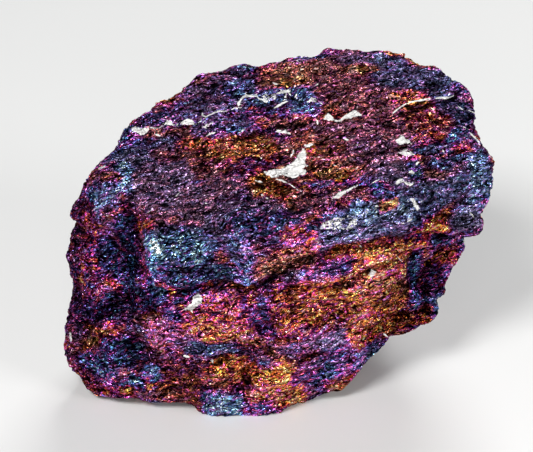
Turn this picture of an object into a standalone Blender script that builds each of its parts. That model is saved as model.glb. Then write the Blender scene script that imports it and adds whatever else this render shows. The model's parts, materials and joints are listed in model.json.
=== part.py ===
# A lump of peacock ore, broken from a vein: one solid piece of tarnished copper sulphide.
# It has a flat tilted top with low terraces, a thick rim round the front of that top with a
# groove under it, a blunt layered body that is undercut on its right side, and a foot with
# the small flat spot that it rests on.
# The origin is on the resting plane, under the middle of the lump. +X is to the right of
# someone facing the broken front, +Y points to the back and +Z points up.

import bmesh
import bpy
from mathutils import Vector, noise
from mathutils.geometry import intersect_point_line

MM = 0.001

# The tilted top: its height at the front of the lump, and how much it rises towards the back.
TOP_FRONT_Y = -34.0
TOP_FRONT_HEIGHT = 52.0
TOP_RISE = 0.14

# The sheets that the ore grew in dip to the left and towards the back.
SHEET_UP = Vector((-0.22, 0.30, 0.93)).normalized()

# The size of face that the lump is worked in, how much its block edges are worn, and the
# number of faces that is kept.
GRAIN = 1.5
WEAR_PASSES = 3
WEAR = 0.5
KEPT_FACES = 9200

# The blocks that the lump is made of, by their corners in millimetres. First the edge of the
# flat top, from the left end round the back.
TOP_OUTLINE = [
    (-41.5, -14.5), (-36.0, 0.0), (-32.0, 11.5), (-24.5, 18.5), (-18.0, 26.5),
    (-7.0, 30.5), (2.5, 35.5), (12.5, 39.5), (23.5, 38.5), (32.5, 33.0),
    (40.5, 25.5), (44.5, 17.5), (46.0, 5.0), (47.0, -12.5), (36.5, -18.0),
    (26.0, -25.5), (15.0, -32.5), (4.0, -37.5), (-9.0, -38.5), (-20.0, -38.0),
    (-28.5, -35.5), (-34.0, -30.0), (-37.5, -22.0),
]  # fmt: skip


def top_height(y):
    return TOP_FRONT_HEIGHT + TOP_RISE * (y - TOP_FRONT_Y)


SLAB = [(x, y, top_height(y)) for x, y in TOP_OUTLINE] + [
    (-47.0, -19.5, 44.0), (-45.0, -10.0, 37.0), (-29.0, -36.5, 38.0), (-18.0, -40.0, 36.5),
    (2.0, -39.0, 38.5), (18.0, -33.5, 41.0), (36.0, -21.5, 38.5), (45.0, -13.5, 40.5),
    (42.0, -14.0, 36.5), (44.0, 12.0, 40.0), (30.0, 33.0, 42.0), (10.5, 38.0, 42.0),
    (-21.5, 19.5, 40.0), (-35.5, 4.0, 38.0),
]  # fmt: skip

BODY = [
    # the lower edge, a little above the ground
    (-49.5, -21.0, 11.0), (-49.2, -22.5, 4.2), (-45.5, -25.5, 1.8), (-31.0, -31.0, 3.0),
    (-20.0, -34.0, 3.0), (-3.0, -33.5, 1.0), (14.0, -26.5, 3.0), (21.0, -23.0, 8.0),
    (25.0, -20.5, 12.5), (18.0, -5.0, 4.0), (15.0, 7.0, 3.0), (3.0, 18.0, 3.0),
    (-16.0, 17.0, 3.0), (-37.0, 7.0, 6.0), (-45.0, -6.0, 5.0),
    # half-way up, where the front bulges
    (-48.0, -20.0, 38.0), (-30.0, -36.5, 34.0), (-12.0, -38.0, 20.0), (6.0, -37.0, 24.0),
    (20.0, -31.0, 28.0), (22.0, 25.0, 14.0), (2.0, 33.0, 18.0), (-25.0, 20.0, 14.0),
    # under the rim of the slab
    (-10.0, -37.5, 40.0), (8.0, -36.5, 40.0), (24.0, -28.5, 41.0), (37.0, -18.5, 41.0),
    (43.5, -11.5, 38.0), (45.5, 12.0, 45.0), (32.5, 33.5, 46.0), (11.5, 39.5, 46.0),
    (-24.0, 22.0, 44.0), (-41.5, 2.0, 42.0),
]  # fmt: skip

# The right side, set back behind the front, with a shelf low down.
RIGHT_SIDE = [
    (20.0, -16.0, 12.0), (28.5, -14.0, 10.0), (34.0, -14.5, 14.0), (36.0, -14.0, 20.0),
    (42.5, -11.0, 33.0), (26.0, -26.0, 30.0), (24.0, 2.0, 8.0), (36.0, 8.0, 26.0),
    (10.0, 0.0, 10.0), (10.0, 0.0, 30.0),
]  # fmt: skip

# The foot reaches below the ground here, and is cut off flat there.
FOOT = [
    (-18.0, -33.0, -3.0), (-3.0, -32.5, -3.0), (4.0, -27.0, -3.0), (11.0, -18.5, -3.0),
    (13.0, -8.0, -3.0), (12.0, 4.0, -3.0), (3.0, 13.0, -3.0), (-13.0, 12.0, -3.0),
    (-20.0, -5.0, -3.0), (-19.0, -34.5, 8.0), (0.0, -34.5, 9.0), (12.0, -26.0, 6.0),
    (17.0, -8.0, 7.0), (3.0, 17.0, 6.0), (-16.0, 16.0, 6.0), (-23.0, -5.0, 6.0),
]  # fmt: skip
GROUND = [(x, y, z) for x in (-80, 80) for y in (-80, 80) for z in (-20, 0)]

# Lumps and dents of the broken faces: centre, reach and height in millimetres.
LUMPS = [
    ((-22.0, -40.0, 42.0), 9.0, 2.2),  # the nose of the rim
    ((25.0, -31.0, 47.0), 13.0, 1.4),
    ((-48.0, -22.0, 12.0), 10.0, 1.2),  # the left side
    ((-46.0, -21.0, 27.0), 8.0, -1.2),
    ((-13.0, -35.0, 4.0), 8.0, 1.6),  # the foot
    ((-2.0, -35.0, 6.0), 7.0, 1.2),
    ((35.0, -15.0, 17.0), 7.0, 1.2),  # the shelf at the lower right
    ((34.0, -18.0, 27.0), 8.0, -3.4),  # the dark hollow above the shelf
    ((-36.5, -29.0, 38.0), 8.0, -3.4),  # the trough between the left side and the front
    ((-35.0, -31.0, 28.0), 9.0, -3.6),
    ((-33.0, -33.0, 17.0), 8.0, -2.4),
    ((-8.0, -37.0, 14.0), 9.0, -2.6),  # hollows in the front
    ((6.0, -33.0, 13.0), 8.0, -1.6),
    ((-4.0, -37.0, 26.0), 5.0, -2.4),
    ((8.0, -12.0, 55.0), 16.0, -1.4),  # the top
    ((-24.0, -8.0, 55.0), 12.0, -1.0),
    ((26.0, 14.0, 59.0), 14.0, 1.0),
    ((4.0, 37.0, 22.0), 14.0, -3.0),  # the back
    ((34.0, 22.0, 26.0), 13.0, -3.5),
    ((-36.0, 12.0, 18.0), 13.0, 2.5),
]  # fmt: skip

# How far each layer of the broken front stands out, by its height along the sheets, and how
# far and how slowly the layers wave.
LAYERS = [
    (-40.0, 0.0), (0.0, 0.0), (1.2, -0.8), (2.6, 0.4), (8.6, 0.0), (9.6, -0.7), (11.0, 0.3),
    (17.9, 0.0), (19.0, -0.8), (20.4, 0.4), (25.0, 0.1), (26.6, -0.7), (28.4, 0.4),
    (34.0, 0.3), (40.0, 0.0), (90.0, 0.0),
]  # fmt: skip
LAYER_WAVE = 2.6
LAYER_WAVE_LENGTH = 16.0

# The faces at the left end and the back are broken across the sheets, so the layers hardly
# show there. They come in over these stretches, along X and along Y.
LAYERS_ON_BREAK = 0.3
LAYERS_FROM_LEFT = (-38.0, -30.0)
LAYERS_FROM_BACK = (25.0, 0.0)

# Grooves across the broken front: the route of each in X and Z, its half width and its depth.
GROOVES = [
    # under the rim, from the left end of the nose to the right side
    ([(-27.0, 33.0), (-14.0, 35.5), (-7.0, 34.3), (-1.0, 38.0), (5.0, 40.2), (14.0, 42.3),
      (25.0, 41.8), (33.0, 39.6), (44.0, 36.0)], 2.8, 3.2),
    # under the second ledge
    ([(2.0, 33.8), (11.0, 33.2), (16.0, 33.4), (21.0, 36.2), (27.0, 36.8)], 2.2, 1.9),
    # over the lowest bulge of the front, and down its middle
    ([(-16.0, 14.5), (-12.0, 17.5), (-4.0, 19.0), (3.0, 18.0)], 2.0, 1.2),
    ([(-7.5, 15.0), (-7.5, 8.0)], 1.8, 1.3),
    # under the shelf of the right side
    ([(24.0, 20.2), (39.0, 19.4)], 2.0, 2.2),
]  # fmt: skip

# A groove's upper edge overhangs it, and the front ends here, towards the back.
GROOVE_LIP = 0.35
GROOVE_LIP_REACH = 2.4
GROOVES_FROM_BACK = (2.0, -8.0)

# Terraces where the top cuts through the sheets: each climbs slowly, then breaks off.
TERRACE_STEP = 5.2
TERRACE_DEPTH = 1.3
TERRACE_CLIMB = 0.78
TERRACE_ON_SIDES = 0.2
TERRACE_WAVES = [(13.0, 3.0), (4.0, 0.8)]

# Rough lumps all over: size and height in millimetres.
ROUGHNESS = [(24.0, 1.6), (10.0, 1.3), (5.5, 0.9)]

# The tarnish: a dark iridescent violet on a metal-bright sulphide.
TARNISH_COLOUR = (0.20, 0.09, 0.28, 1.0)
TARNISH_ROUGHNESS = 0.36
TARNISH_METALLIC = 0.9


def block(name, corners):
    """One broken block: the tight skin round its named corners."""
    shell = bmesh.new()
    for corner in corners:
        shell.verts.new(Vector(corner) * MM)
    bmesh.ops.convex_hull(shell, input=shell.verts)
    loose = [v for v in shell.verts if not v.link_faces]
    bmesh.ops.delete(shell, geom=loose, context="VERTS")
    bmesh.ops.recalc_face_normals(shell, faces=shell.faces)
    mesh = bpy.data.meshes.new(name)
    shell.to_mesh(mesh)
    shell.free()
    made = bpy.data.objects.new(name, mesh)
    bpy.context.scene.collection.objects.link(made)
    return made


def settle(lump):
    """Works the modifiers of the lump into its mesh."""
    bpy.context.view_layer.update()
    graph = bpy.context.evaluated_depsgraph_get()
    worked = bpy.data.meshes.new_from_object(lump.evaluated_get(graph))
    lump.modifiers.clear()
    lump.data = worked


def combine(lump, other, operation):
    joined = lump.modifiers.new("join", "BOOLEAN")
    joined.operation = operation
    joined.object = other
    settle(lump)
    bpy.data.objects.remove(other)


def even_faces(lump):
    grain = lump.modifiers.new("even faces", "REMESH")
    grain.mode = "VOXEL"
    grain.voxel_size = GRAIN * MM
    settle(lump)


def wear_edges(lump):
    worn = lump.modifiers.new("worn edges", "SMOOTH")
    worn.factor = WEAR
    worn.iterations = WEAR_PASSES
    settle(lump)


def keep_faces(lump, count):
    triangles = sum(len(face.vertices) - 2 for face in lump.data.polygons)
    fewer = lump.modifiers.new("fewer faces", "DECIMATE")
    fewer.ratio = count / triangles
    settle(lump)


def share_between(value, start, end):
    return min(1.0, max(0.0, (value - start) / (end - start)))


def lump_offset(place):
    """How far the named lumps and dents move the surface at a place."""
    out = 0.0
    for centre, reach, height in LUMPS:
        apart = (place - Vector(centre)).length / reach
        if apart < 1.0:
            out += height * (1.0 - apart * apart) ** 2
    return out


def layer_offset(place):
    """How far the layer of the front at a place stands out."""
    wave = LAYER_WAVE * noise.noise(place / LAYER_WAVE_LENGTH)
    height = place.dot(SHEET_UP) + wave
    for (low, out_low), (high, out_high) in zip(LAYERS, LAYERS[1:]):
        if height < high:
            return out_low + (out_high - out_low) * share_between(height, low, high)
    return 0.0


def groove_offset(place):
    """How far the grooves of the front cut in at a place, and how far their lips stand out."""
    spot = Vector((place.x, place.z, 0.0))
    out = 0.0
    for route, reach, depth in GROOVES:
        stretches = [(Vector((*a, 0.0)), Vector((*b, 0.0))) for a, b in zip(route, route[1:])]
        nearest = []
        for start, end in stretches:
            share = share_between(intersect_point_line(spot, start, end)[1], 0.0, 1.0)
            nearest.append(start.lerp(end, share))
        point = min(nearest, key=lambda p: (p - spot).length)
        apart = (spot - point).length
        out -= depth * max(0.0, 1.0 - (apart / reach) ** 2) ** 2
        if spot.y > point.y:
            lip = min(apart / reach, GROOVE_LIP_REACH - apart / reach)
            out += GROOVE_LIP * depth * max(0.0, lip)
    return out * share_between(place.y, *GROOVES_FROM_BACK)


def layers_showing(place):
    """How much of the layers shows: all of it on the front, less on the cross breaks."""
    front = share_between(place.x, *LAYERS_FROM_LEFT) * share_between(place.y, *LAYERS_FROM_BACK)
    return LAYERS_ON_BREAK + (1.0 - LAYERS_ON_BREAK) * front


def terrace_offset(place):
    """A step along the sheets that climbs slowly and breaks off sharply."""
    wave = sum(height * noise.noise(place / size) for size, height in TERRACE_WAVES)
    share = (place.dot(SHEET_UP) + wave) / TERRACE_STEP % 1.0
    falling = share > TERRACE_CLIMB
    climb = (1.0 - share) / (1.0 - TERRACE_CLIMB) if falling else share / TERRACE_CLIMB
    return TERRACE_DEPTH * (climb - 0.5)


def relief(place, normal):
    """How far the surface stands out at a place in millimetres, along its normal."""
    level = max(0.0, normal.z) ** 2
    terraced = TERRACE_ON_SIDES + (1.0 - TERRACE_ON_SIDES) * level
    out = lump_offset(place)
    out += (1.0 - level) * layers_showing(place) * layer_offset(place)
    out += (1.0 - level) * groove_offset(place)
    out += terraced * terrace_offset(place)
    for size, height in ROUGHNESS:
        out += height * noise.noise(place / size + Vector((size, 0.0, 0.0)))
    return out


def roughen(lump):
    vertices = lump.data.vertices
    moved = [v.co + v.normal * relief(v.co / MM, v.normal) * MM for v in vertices]
    for vertex, place in zip(vertices, moved):
        vertex.co = place


def centre(lump):
    """Puts the middle of the lump over the origin. It already stands on the resting plane."""
    for axis in (0, 1):
        along = [v.co[axis] for v in lump.data.vertices]
        middle = (min(along) + max(along)) / 2
        for vertex in lump.data.vertices:
            vertex.co[axis] -= middle


def tarnish():
    made = bpy.data.materials.new("tarnished_sulphide")
    made.use_nodes = True
    shader = made.node_tree.nodes["Principled BSDF"]
    shader.inputs["Base Color"].default_value = TARNISH_COLOUR
    shader.inputs["Roughness"].default_value = TARNISH_ROUGHNESS
    shader.inputs["Metallic"].default_value = TARNISH_METALLIC
    return made


for old in list(bpy.data.objects):
    bpy.data.objects.remove(old)

ore = block("peacock_ore", BODY)
combine(ore, block("slab", SLAB), "UNION")
combine(ore, block("right_side", RIGHT_SIDE), "UNION")
combine(ore, block("foot", FOOT), "UNION")
even_faces(ore)
wear_edges(ore)
roughen(ore)
keep_faces(ore, KEPT_FACES)
combine(ore, block("ground", GROUND), "DIFFERENCE")
centre(ore)
ore.data.materials.clear()
ore.data.materials.append(tarnish())
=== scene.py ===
# A lump of peacock ore: its granular, iridescent skin over the plain solid, on a pale floor.
import json
import math

import bpy
import numpy as np
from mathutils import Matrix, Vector, noise
from mathutils.bvhtree import BVHTree

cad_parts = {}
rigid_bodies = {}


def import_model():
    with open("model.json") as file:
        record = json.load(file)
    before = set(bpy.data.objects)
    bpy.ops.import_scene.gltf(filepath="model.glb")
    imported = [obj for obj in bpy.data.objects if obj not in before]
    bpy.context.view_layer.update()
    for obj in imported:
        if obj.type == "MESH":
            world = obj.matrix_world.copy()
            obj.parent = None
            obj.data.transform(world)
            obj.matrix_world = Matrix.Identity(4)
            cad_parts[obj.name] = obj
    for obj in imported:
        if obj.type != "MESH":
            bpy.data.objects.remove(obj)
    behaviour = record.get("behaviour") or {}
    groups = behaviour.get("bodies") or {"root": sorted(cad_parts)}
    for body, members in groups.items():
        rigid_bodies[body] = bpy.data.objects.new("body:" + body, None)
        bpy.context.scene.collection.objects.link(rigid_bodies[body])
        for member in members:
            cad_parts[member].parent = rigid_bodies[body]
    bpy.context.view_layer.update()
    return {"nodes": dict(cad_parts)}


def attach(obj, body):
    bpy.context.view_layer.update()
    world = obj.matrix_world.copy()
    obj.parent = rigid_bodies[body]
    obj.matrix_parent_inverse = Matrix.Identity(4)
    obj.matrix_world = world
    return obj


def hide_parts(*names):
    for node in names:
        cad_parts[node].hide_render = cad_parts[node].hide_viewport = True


noise.seed_set(1)  # any whole number above 0: the same drift of colours in every run
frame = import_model()
mm = 0.001
farAway = 1000.0  # mm or pixels: further off than anything on the ore
tiny = 1e-6  # in place of zero, where it would divide
print("frame loaded:", ", ".join(sorted(frame["nodes"])))


# Camera, at the photo's viewing angle: a long lens that looks down on the broken front.
cameraSetup = {
    "lens": 150.0,
    "sensor": 36.0,
    "distance": 0.521,  # metres
    "lookDown": 25.0,  # degrees
    "target": (-0.0020, 0.0012, 0.032),
    "photoSize": (533, 452),
}


def addCamera(setup):
    down = math.radians(setup["lookDown"])
    back = Vector((0, -math.cos(down), math.sin(down)))
    place = Vector(setup["target"]) + back * setup["distance"]
    bpy.ops.object.camera_add(location=place, rotation=(math.pi / 2 - down, 0, 0))
    camera = bpy.context.object
    camera.name = "photoCamera"
    camera.data.lens = setup["lens"]
    camera.data.sensor_width = setup["sensor"]
    bpy.context.scene.camera = camera
    bpy.context.view_layer.update()
    return camera


camera = addCamera(cameraSetup)
print("camera placed")


# Places on the ore, by the photo's pixels: where the ray from the camera meets the solid, and the
# way that its skin faces there.
def skinTree(piece):
    corners = [v.co.copy() for v in piece.data.vertices]
    return BVHTree.FromPolygons(corners, [tuple(p.vertices) for p in piece.data.polygons])


oreTree = skinTree(frame["nodes"]["peacock_ore"])
eye = camera.matrix_world.translation.copy()
cameraTurn = camera.matrix_world.to_3x3()
sight = np.array(cameraTurn @ Vector((0, 0, -1)))
photoWidth, photoHeight = cameraSetup["photoSize"]
pixelsPerSlope = photoWidth * cameraSetup["lens"] / cameraSetup["sensor"]


def onOre(pixel):
    aim = Vector((pixel[0] - photoWidth / 2, photoHeight / 2 - pixel[1], -pixelsPerSlope))
    ray = cameraTurn @ aim
    place, facing, _, _ = oreTree.ray_cast(eye, ray.normalized())
    if place is None:
        print("no skin under pixel", pixel)
        return np.array((0.0, 0.0, farAway)), np.array((0.0, 0.0, 1.0))
    return np.array(place) / mm, np.array(facing)


def pixelsOf(places):
    apart = (places * mm - np.array(eye)) @ np.array(cameraTurn)
    slopes = apart[:, :2] / -apart[:, 2:] * pixelsPerSlope
    return np.stack([photoWidth / 2 + slopes[:, 0], photoHeight / 2 - slopes[:, 1]], axis=1)


def inSight(piece, places, slack=1.5):
    # which of the places the camera sees, with some mm of slack
    tree = skinTree(piece)
    seen = []
    for place in places:
        ray = Vector(place) * mm - eye
        hit = tree.ray_cast(eye, ray.normalized())[0]
        seen.append(hit is None or (hit - eye).length > ray.length - slack * mm)
    return np.array(seen)


def fromStroke(places, start, end, flat, onSkin=False):
    # the distance of each place from a stroke; flat is the weight of the distance along the
    # line of sight, or across the skin
    (start, startFacing), (end, endFacing) = onOre(start), onOre(end)
    line = end - start
    share = np.clip((places - start) @ line / max(line @ line, tiny), 0.0, 1.0)
    apart = places - start - share[:, None] * line
    away = sight
    if onSkin:
        away = (startFacing + endFacing) / np.linalg.norm(startFacing + endFacing)
    off = apart @ away
    return np.linalg.norm(apart - ((1 - flat) * off)[:, None] * away, axis=1)


def smoothStep(value, low, high):
    share = np.clip((value - low) / (high - low), 0.0, 1.0)
    return share * share * (3 - 2 * share)


def cloudAt(places, size, reach, shift=0.0):
    # three values of a cloud at each place; another shift gives another cloud
    moved = Vector((shift, shift, shift))
    return reach * np.array([noise.noise_vector(Vector(p) / size + moved) for p in places])


def valuesOf(piece, field):
    values = np.empty(len(piece.data.vertices) * 3)
    piece.data.vertices.foreach_get(field, values)
    return values.reshape(-1, 3)


def placesOf(piece):
    return valuesOf(piece, "co") / mm


def putPlaces(piece, places):
    piece.data.vertices.foreach_set("co", (places * mm).ravel())
    piece.data.update()


# Small helpers for node trees, for the relief and for the material.
def newTree(name, kind, inputs, outputs):
    tree = bpy.data.node_groups.new(name, kind)
    for way, sockets in (("INPUT", inputs), ("OUTPUT", outputs)):
        for socketName, socketKind in sockets:
            tree.interface.new_socket(socketName, in_out=way, socket_type="NodeSocket" + socketKind)
    return tree, tree.nodes.new("NodeGroupInput").outputs, tree.nodes.new("NodeGroupOutput").inputs


def addNode(tree, kind, **settings):
    node = tree.nodes.new(kind)
    for name, value in settings.items():
        setattr(node, name, value)
    return node


def feed(tree, node, sources):
    # each source is an output to link or a plain value to set
    for name, source in sources.items():
        socket = node.inputs[name]
        if isinstance(source, bpy.types.NodeSocket):
            tree.links.new(source, socket)
        else:
            socket.default_value = source
    return node


def maths(tree, operation, *values):
    node = addNode(tree, "ShaderNodeMath", operation=operation)
    return feed(tree, node, dict(enumerate(values))).outputs[0]


def vectorMaths(tree, operation, *values):
    node = addNode(tree, "ShaderNodeVectorMath", operation=operation)
    if operation == "SCALE":
        return feed(tree, node, {"Vector": values[0], "Scale": values[1]}).outputs[0]
    feed(tree, node, dict(enumerate(values)))
    return node.outputs["Value" if operation == "DOT_PRODUCT" else "Vector"]


def spread(tree, value, toLow, toHigh, fromLow=0.0, fromHigh=1.0):
    node = addNode(tree, "ShaderNodeMapRange")
    return feed(tree, node, dict(enumerate((value, fromLow, fromHigh, toLow, toHigh)))).outputs[0]


def sway(tree, value, reach, low=0.0, high=1.0):
    return spread(tree, value, -reach, reach, low, high)


def blend(tree, share, first, second):
    node = addNode(tree, "ShaderNodeMix", data_type="FLOAT")
    return feed(tree, node, {0: share, 2: first, 3: second}).outputs[0]


def mixColour(tree, share, first, second):
    node = addNode(tree, "ShaderNodeMix", data_type="RGBA")
    return feed(tree, node, {0: share, 6: first, 7: second}).outputs[2]


def stretch(tree, spot, sizes):
    return vectorMaths(tree, "DIVIDE", spot, sizes)


def fractal(tree, spot, size, detail=2.0, roughness=0.5):
    # cloud noise of one size in mm, or of a size along each axis
    if isinstance(size, (tuple, list)):
        spot, size = stretch(tree, spot, size), 1.0
    node = addNode(tree, "ShaderNodeTexNoise")
    feed(tree, node, {"Vector": spot, "Scale": 1 / size, "Detail": detail, "Roughness": roughness})
    return node.outputs


def wander(tree, spot, size, reach):
    # the same place, moved about by cloud noise
    moved = vectorMaths(tree, "SUBTRACT", fractal(tree, spot, size)["Color"], (0.5, 0.5, 0.5))
    return vectorMaths(tree, "ADD", spot, vectorMaths(tree, "SCALE", moved, 2 * reach))


def cells(tree, spot):
    node = addNode(tree, "ShaderNodeTexVoronoi")
    return feed(tree, node, {"Vector": spot, "Scale": 1.0, "Randomness": 1.0}).outputs


def foldsOf(tree, cloud):
    # 0 along thin winding lines, and more away from them
    return maths(tree, "ABSOLUTE", maths(tree, "SUBTRACT", cloud, 0.5))


def parts(tree, vector):
    return feed(tree, addNode(tree, "ShaderNodeSeparateXYZ"), {0: vector}).outputs


# The lump: the solid's own shape, cut finer, worn, and broken up into ledges, wrinkles and grains.
lumpLook = {  # lengths in mm; ranges and widths in the clouds' own values
    "mergeGap": 0.005,
    "cuts": 5,  # new edges across each face of the solid
    "mapAngle": 1.15,  # sharpest turn within an island of the UV map, in radians
    "mapMargin": 0.004,
    "wearPasses": 14,
    "nudgeFade": (0.3, 1.7),  # shares of its reach between which a nudge fades
    "seamDrift": (3.0, 0.8),  # size and reach of the clouds that bend the seams
    "seamFlat": 0.4,  # weight of the distance across the skin
    "seamFade": 1.6,  # half widths within which a seam fades
    "sheetUp": (-0.22, 0.30, 0.93),  # across the ore's sheets
    "sheetWaves": ((26.0, 4.0), (8.0, 1.6), (2.6, 0.35)),  # size and height of their ripples
    "breakTop": (27.0, 37.0),  # heights between which the rough break ends
    "breakLeft": (-30.0, -20.0),
    "ledges": ((4.4, 0.5, 0.14), (1.7, 0.32, 0.18)),  # step, depth and share of the step under each edge
    "weakestLedge": 0.25,
    "ledgePatch": 12.0,  # ledges are strong in patches of this size
    "ledgePatchRange": (0.35, 0.6),
    "ledgeElsewhere": 0.35,
    "ledgeOnBreak": 0.55,
    "wrinkleDrift": (9.0, 3.0),
    "wrinkleSize": (8.0, 4.0, 1.4),
    "wrinkleHeight": 0.42,
    "wrinkleWidth": 0.2,
    "fibreSize": (1.7, 2.2, 6.0),  # on the break below the rim they hang down
    "crinkleShare": 0.42,  # a second, finer set of wrinkles
    "bumps": ((4.5, 0.3), (0.9, 0.12)),  # size and height of the lumps and of the grains
    "bumpDrift": 0.35,  # a share of their size
    "bumpWidth": 0.8,
    "grainJitter": 0.06,
    "jitterSeed": 5,
    "trianglesKept": 194000,
    "outwardPasses": 12,
    "hollowPasses": {"hollowNear": 10, "hollowFar": 120},  # smoothing passes for the surroundings
}
sheetTurn = Vector(lumpLook["sheetUp"]).to_track_quat("Z", "Y").to_euler()


def makeActive(piece):
    bpy.ops.object.select_all(action="DESELECT")
    piece.select_set(True)
    bpy.context.view_layer.objects.active = piece


def copyOfNode(nodeName, pieceName):
    makeActive(frame["nodes"][nodeName])
    bpy.ops.object.duplicate()
    piece = bpy.context.object
    piece.name = pieceName
    bpy.ops.object.parent_clear(type="CLEAR_KEEP_TRANSFORM")
    piece.data.materials.clear()
    return piece


def newSkinTree(name):
    skin = [("Geometry", "Geometry")]
    return newTree(name, "GeometryNodeTree", skin, skin)


def inSheets(tree, spot):
    # the place in axes that lie along the sheets, with the third across them
    node = addNode(tree, "ShaderNodeVectorRotate", rotation_type="EULER_XYZ", invert=True)
    return feed(tree, node, {"Vector": spot, "Rotation": sheetTurn}).outputs[0]


def onBreak(tree, spot, look):
    # 1 on the rough break below the rim, 0 on the top and the left end
    across, _, up = parts(tree, spot)
    low = spread(tree, up, 1.0, 0.0, *look["breakTop"])
    right = spread(tree, across, 0.0, 1.0, *look["breakLeft"])
    return maths(tree, "MULTIPLY", low, right)


def moveSkin(tree, geometry, **move):
    node = addNode(tree, "GeometryNodeSetPosition")
    return feed(tree, node, {"Geometry": geometry, **move}).outputs[0]


def pushOut(tree, geometry, height):
    normal = addNode(tree, "GeometryNodeInputNormal").outputs[0]
    offset = vectorMaths(tree, "SCALE", normal, maths(tree, "MULTIPLY", height, mm))
    return moveSkin(tree, geometry, Offset=offset)


def ledgeRelief(tree, height, step, depth, under, weakest):
    phase = maths(tree, "DIVIDE", height, step)
    part = maths(tree, "FRACT", phase)
    rise = spread(tree, part, 0.0, 1.0, 0.0, under)
    fall = spread(tree, part, 1.0, 0.0, under)
    sheet = addNode(tree, "ShaderNodeTexWhiteNoise", noise_dimensions="1D")
    strength = feed(tree, sheet, {"W": maths(tree, "FLOOR", phase)}).outputs["Value"]
    edge = maths(tree, "SUBTRACT", maths(tree, "MINIMUM", rise, fall), 0.5)
    return maths(tree, "MULTIPLY", edge, spread(tree, strength, weakest * depth, depth))


def layLedges(tree, geometry, spot, broken, look):
    # the broken edges of the ore's sheets
    height = parts(tree, inSheets(tree, spot))[2]
    for size, swing in look["sheetWaves"]:
        wave = maths(tree, "SUBTRACT", fractal(tree, spot, size, 1.0)[0], 0.5)
        height = maths(tree, "MULTIPLY_ADD", wave, 2 * swing, height)
    patchy = fractal(tree, spot, look["ledgePatch"], 1.0)[0]
    patchy = spread(tree, patchy, look["ledgeElsewhere"], 1.0, *look["ledgePatchRange"])
    whole = maths(tree, "SUBTRACT", 1.0, broken)
    patchy = maths(tree, "MULTIPLY", patchy, spread(tree, whole, look["ledgeOnBreak"], 1.0))
    relief = 0.0
    for step, depth, under in look["ledges"]:
        ledge = ledgeRelief(tree, height, step, depth, under, look["weakestLedge"])
        relief = maths(tree, "MULTIPLY_ADD", ledge, patchy, relief)
    return pushOut(tree, geometry, relief)


def layWrinkles(tree, geometry, spot, broken, look):
    # wrinkles along the sheets, and fibres that hang down the break
    loose = wander(tree, inSheets(tree, spot), *look["wrinkleDrift"])
    for share in (1.0, look["crinkleShare"]):
        along = fractal(tree, loose, [share * size for size in look["wrinkleSize"]])[0]
        hanging = fractal(tree, loose, [share * size for size in look["fibreSize"]])[0]
        folds = foldsOf(tree, blend(tree, broken, along, hanging))
        crest = 0.5 * look["wrinkleHeight"] * share
        geometry = pushOut(tree, geometry, sway(tree, folds, -crest, 0.0, look["wrinkleWidth"]))
    return geometry


def layBumps(tree, geometry, spot, look):
    # lumps and grains
    bumps = 0.0
    for size, swing in look["bumps"]:
        place = wander(tree, spot, size, look["bumpDrift"] * size)
        blob = cells(tree, vectorMaths(tree, "SCALE", place, 1 / size))["Distance"]
        bumps = maths(tree, "ADD", sway(tree, blob, -0.5 * swing, 0.0, look["bumpWidth"]), bumps)
    geometry = pushOut(tree, geometry, bumps)
    jitter = addNode(tree, "FunctionNodeRandomValue", data_type="FLOAT_VECTOR")
    reach = look["grainJitter"] * mm
    feed(tree, jitter, {0: (-reach, -reach, -reach), 1: (reach, reach, reach), "Seed": look["jitterSeed"]})
    return moveSkin(tree, geometry, Offset=jitter.outputs[0])


def keepOffFloor(tree, geometry):
    # nothing goes below the flat spot that the lump rests on
    place = parts(tree, addNode(tree, "GeometryNodeInputPosition").outputs[0])
    grounded = addNode(tree, "ShaderNodeCombineXYZ")
    feed(tree, grounded, {0: place[0], 1: place[1], 2: maths(tree, "MAXIMUM", place[2], 0.0)})
    return moveSkin(tree, geometry, Position=grounded.outputs[0])


def makeRelief(look):
    tree, given, result = newSkinTree("skinRelief")
    spot = vectorMaths(tree, "SCALE", addNode(tree, "GeometryNodeInputPosition").outputs[0], 1 / mm)
    broken = onBreak(tree, spot, look)
    geometry = layLedges(tree, given[0], spot, broken, look)
    geometry = layWrinkles(tree, geometry, spot, broken, look)
    geometry = layBumps(tree, geometry, spot, look)
    tree.links.new(keepOffFloor(tree, geometry), result[0])
    return tree


def blurred(tree, value, passes):
    node = addNode(tree, "GeometryNodeBlurAttribute", data_type="FLOAT_VECTOR")
    return feed(tree, node, {"Value": value, "Iterations": passes}).outputs[0]


def makeHollowMarks(look):
    # how far the skin lies below its surroundings, near by and further off; the tarnish turns it into
    # painted shade in hollows and painted light on ridges
    tree, given, result = newSkinTree("hollowMarks")
    place = addNode(tree, "GeometryNodeInputPosition").outputs[0]
    normal = addNode(tree, "GeometryNodeInputNormal").outputs[0]
    outward = blurred(tree, normal, look["outwardPasses"])
    geometry = given[0]
    for name, passes in look["hollowPasses"].items():
        around = vectorMaths(tree, "SUBTRACT", blurred(tree, place, passes), place)
        depth = maths(tree, "DIVIDE", vectorMaths(tree, "DOT_PRODUCT", around, outward), mm)
        store = addNode(tree, "GeometryNodeStoreNamedAttribute", data_type="FLOAT", domain="POINT")
        geometry = feed(tree, store, {"Geometry": geometry, "Name": name, "Value": depth}).outputs[0]
    tree.links.new(geometry, result[0])
    return tree


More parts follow.
